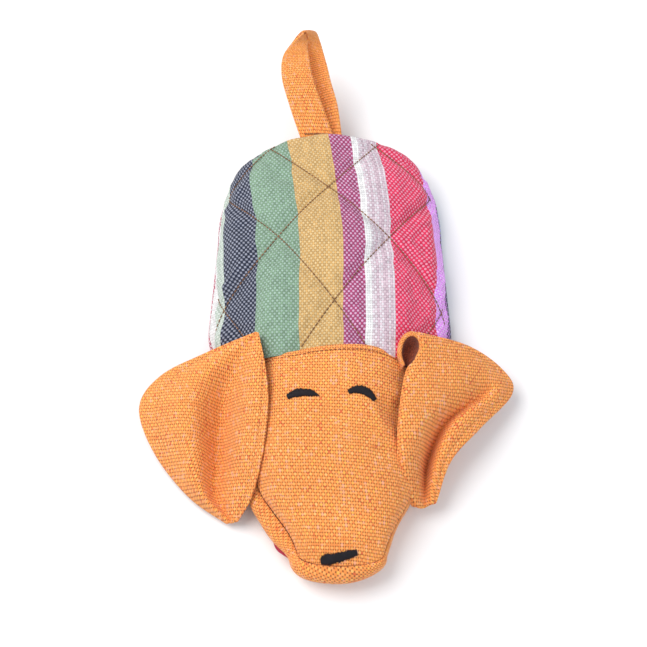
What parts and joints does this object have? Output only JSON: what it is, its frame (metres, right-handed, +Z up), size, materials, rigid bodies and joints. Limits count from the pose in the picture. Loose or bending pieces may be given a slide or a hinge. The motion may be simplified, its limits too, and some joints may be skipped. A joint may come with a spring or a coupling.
{
  "type": "hand puppet",
  "caption": "Quilted cloth dog hand puppet: striped padded mitt, soft head with opening mouth, flap ears and a strap loop for a tail.",
  "frame": {"origin": "middle of the belly's flat face, which is what the puppet rests on", "axes": "+Z up out of the back, -Y towards the snout, +Y towards the hand opening and the tail loop, +X to the right seen from the head"},
  "size_m": [0.1993, 0.311, 0.0452],
  "materials": {
    "striped_cloth": "plain-woven striped handloom cloth, quilted",
    "belly_cloth": "plain-woven handloom cloth",
    "orange_cloth": "coarse two-tone linen weave",
    "mouth_cloth": "plain-woven crimson cloth",
    "lining_cloth": "plain cotton",
    "wadding": "needled cotton wadding",
    "tan_thread": "twisted sewing thread",
    "navy_thread": "satin-stitched embroidery thread"
  },
  "bodies": {
    "body": {"back_panel": "striped_cloth", "back_wadding": "wadding", "back_lining": "lining_cloth", "belly_panel": "belly_cloth", "belly_wadding": "wadding", "belly_lining": "lining_cloth", "quilting_thread": "tan_thread"},
    "head": {"head_panel": "orange_cloth", "head_wadding": "wadding", "head_lining": "lining_cloth", "lip_band": "orange_cloth", "palate": "mouth_cloth", "left_eye": "navy_thread", "right_eye": "navy_thread", "nose": "navy_thread", "neck_stitches": "tan_thread"},
    "jaw": {"jaw_panel": "orange_cloth", "jaw_wadding": "wadding", "jaw_lining": "lining_cloth", "mouth_floor": "mouth_cloth"},
    "left_ear": {"left_ear_front": "orange_cloth", "left_ear_back": "orange_cloth", "left_ear_stitches": "tan_thread"},
    "right_ear": {"right_ear_front": "orange_cloth", "right_ear_back": "orange_cloth", "right_ear_stitches": "tan_thread"},
    "tail": {"tail_loop": "orange_cloth", "tail_tack": "tan_thread"}
  },
  "joints": [
    {"name": "head_lift", "type": "hinge", "parent": "body", "child": "head", "pos_m": [0, -0.063, 0.022], "axis": [-1, 0, 0], "range_deg": [0, 30]},
    {"name": "jaw_drop", "type": "hinge", "parent": "body", "child": "jaw", "pos_m": [0, -0.063, 0.013], "axis": [1, 0, 0], "range_deg": [0, 25]},
    {"name": "left_ear_flap", "type": "hinge", "parent": "head", "child": "left_ear", "pos_m": [-0.042, -0.0665, 0.036], "axis": [0, 1, 0], "range_deg": [-4, 100]},
    {"name": "right_ear_flap", "type": "hinge", "parent": "head", "child": "right_ear", "pos_m": [0.042, -0.0665, 0.036], "axis": [0, -1, 0], "range_deg": [-4, 100]},
    {"name": "tail_swing", "type": "hinge", "parent": "body", "child": "tail", "pos_m": [-0.0045, 0.0655, 0.02], "axis": [1, 0, 0], "range_deg": [-30, 60]}
  ]
}
